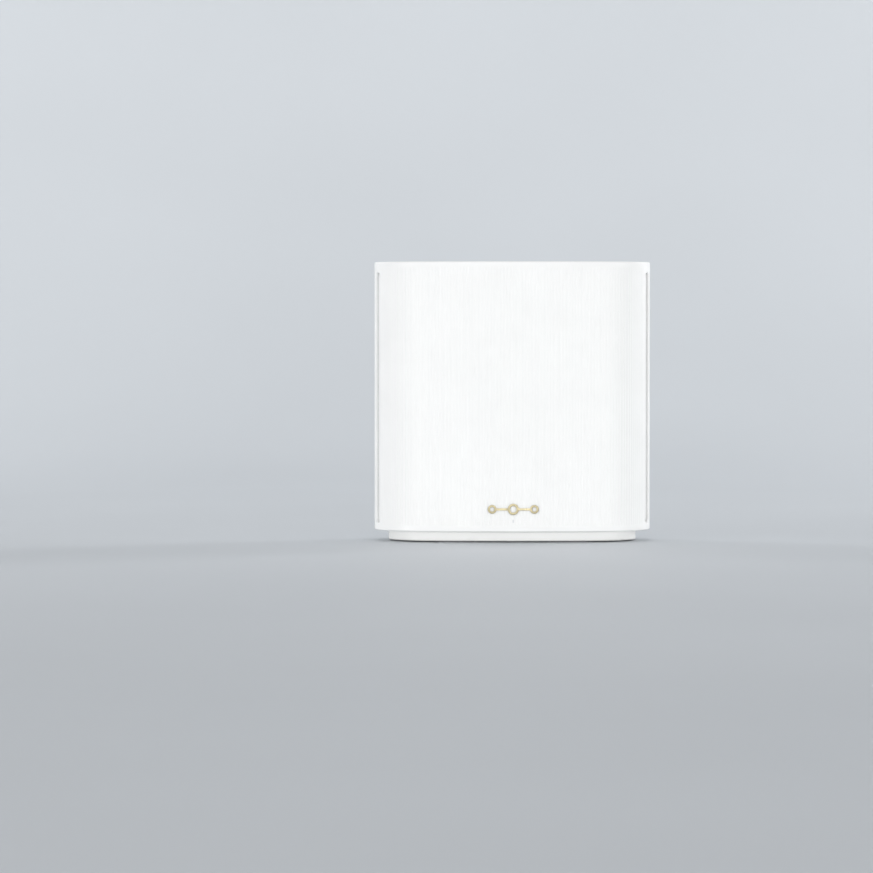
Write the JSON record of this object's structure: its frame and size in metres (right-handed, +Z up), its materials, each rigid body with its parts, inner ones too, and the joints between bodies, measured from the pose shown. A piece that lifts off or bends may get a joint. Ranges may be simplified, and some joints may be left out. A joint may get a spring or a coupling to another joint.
{
  "type": "mesh wifi node",
  "caption": "Upright oval tabletop wireless node with a finely ribbed front, a rear port bay, a vented lid and a recessed plinth on rubber pads.",
  "frame": {"origin": "centre of the footprint, on the surface that the rubber pads stand on", "axes": "+Z up; -Y out of the ribbed front, which carries the emblem and the status light; +X to the right of someone facing the front"},
  "size_m": [0.16, 0.0754, 0.1615],
  "materials": {
    "shell_white": "fine satin moulded plastic, cool white",
    "plinth_white": "satin moulded plastic, white",
    "bay_white": "fine matt moulded plastic, white",
    "emblem_gold": "satin champagne gold",
    "clear_plastic": "clear light guide",
    "led_white": "moulded LED lens",
    "label_film": "printed film, blank",
    "foot_rubber": "matt rubber",
    "screw_dark": "black zinc",
    "screw_steel": "bright zinc",
    "board_laminate": "green solder mask",
    "thermal_pad": "soft silicone",
    "frame_grey": "moulded plastic, grey",
    "heatsink_aluminium": "plain extruded",
    "chip_black": "moulded epoxy",
    "shield_tin": "tinned sheet",
    "antenna_brass": "stamped sheet",
    "lead_jacket": "smooth jacket",
    "contact_gold": "gold plated",
    "insert_blue": "moulded plastic, blue",
    "insert_black": "moulded plastic, black",
    "socket_nickel": "nickel plated sheet",
    "usb_blue": "moulded plastic, blue",
    "socket_black": "moulded plastic, black",
    "pin_nickel": "nickel plated",
    "switch_black": "moulded plastic, black",
    "paddle_black": "smooth moulded plastic, black",
    "button_white": "satin moulded plastic, light grey",
    "plunger_plastic": "moulded plastic, ivory"
  },
  "bodies": {
    "housing": {"antenna_leads": "lead_jacket", "antenna_side_high_left": "antenna_brass", "antenna_side_high_right": "antenna_brass", "antenna_side_low_left": "antenna_brass", "antenna_side_low_right": "antenna_brass", "antenna_top_left": "antenna_brass", "antenna_top_right": "antenna_brass", "base_plinth": "plinth_white", "base_screws": "screw_dark", "board_screws": "screw_steel", "dc_jack": "socket_black", "dc_pin": "pin_nickel", "emblem": "emblem_gold", "foot_front_left": "foot_rubber", "foot_front_right": "foot_rubber", "foot_rear_left": "foot_rubber", "foot_rear_right": "foot_rubber", "front_fascia": "shell_white", "front_heatsink": "heatsink_aluminium", "heatsink_screws": "screw_steel", "inner_frame": "frame_grey", "jack_contacts": "contact_gold", "lan_insert_1": "insert_black", "lan_insert_2": "insert_black", "lan_insert_3": "insert_black", "lan_jack_1": "socket_nickel", "lan_jack_2": "socket_nickel", "lan_jack_3": "socket_nickel", "light_pipe": "clear_plastic", "main_board": "board_laminate", "memory_chip": "chip_black", "port_bay": "bay_white", "processor_chip": "chip_black", "radio_chips": "chip_black", "rating_label": "label_film", "rear_heatsink": "heatsink_aluminium", "rear_shell": "shell_white", "reset_switch": "switch_black", "rocker_bezel": "switch_black", "shield_processor": "shield_tin", "shield_radio_high": "shield_tin", "shield_radio_low": "shield_tin", "shield_radio_mid": "shield_tin", "status_led": "led_white", "switch_chip": "chip_black", "thermal_pads": "thermal_pad", "top_cap": "shell_white", "usb_shell": "socket_nickel", "usb_tongue": "usb_blue", "wan_insert": "insert_blue", "wan_jack": "socket_nickel", "wps_switch": "switch_black"},
    "wps_button": {"wps_button": "button_white", "wps_plunger": "plunger_plastic"},
    "reset_plunger": {"reset_plunger": "plunger_plastic"},
    "rocker": {"rocker_paddle": "paddle_black"}
  },
  "joints": [
    {"name": "wps_press", "type": "slide", "parent": "housing", "child": "wps_button", "axis": [0, 0, 1], "range_m": [0, 0.0005], "stiffness_N_per_m": 1500, "springref_m": -0.0005},
    {"name": "reset_press", "type": "slide", "parent": "housing", "child": "reset_plunger", "axis": [0, 0, 1], "range_m": [0, 0.0005], "stiffness_N_per_m": 1500, "springref_m": -0.0005},
    {"name": "rocker_turn", "type": "hinge", "parent": "housing", "child": "rocker", "pos_m": [0.04, 0.0208, 0.024], "axis": [1, 0, 0], "range_deg": [-18, 0]}
  ]
}
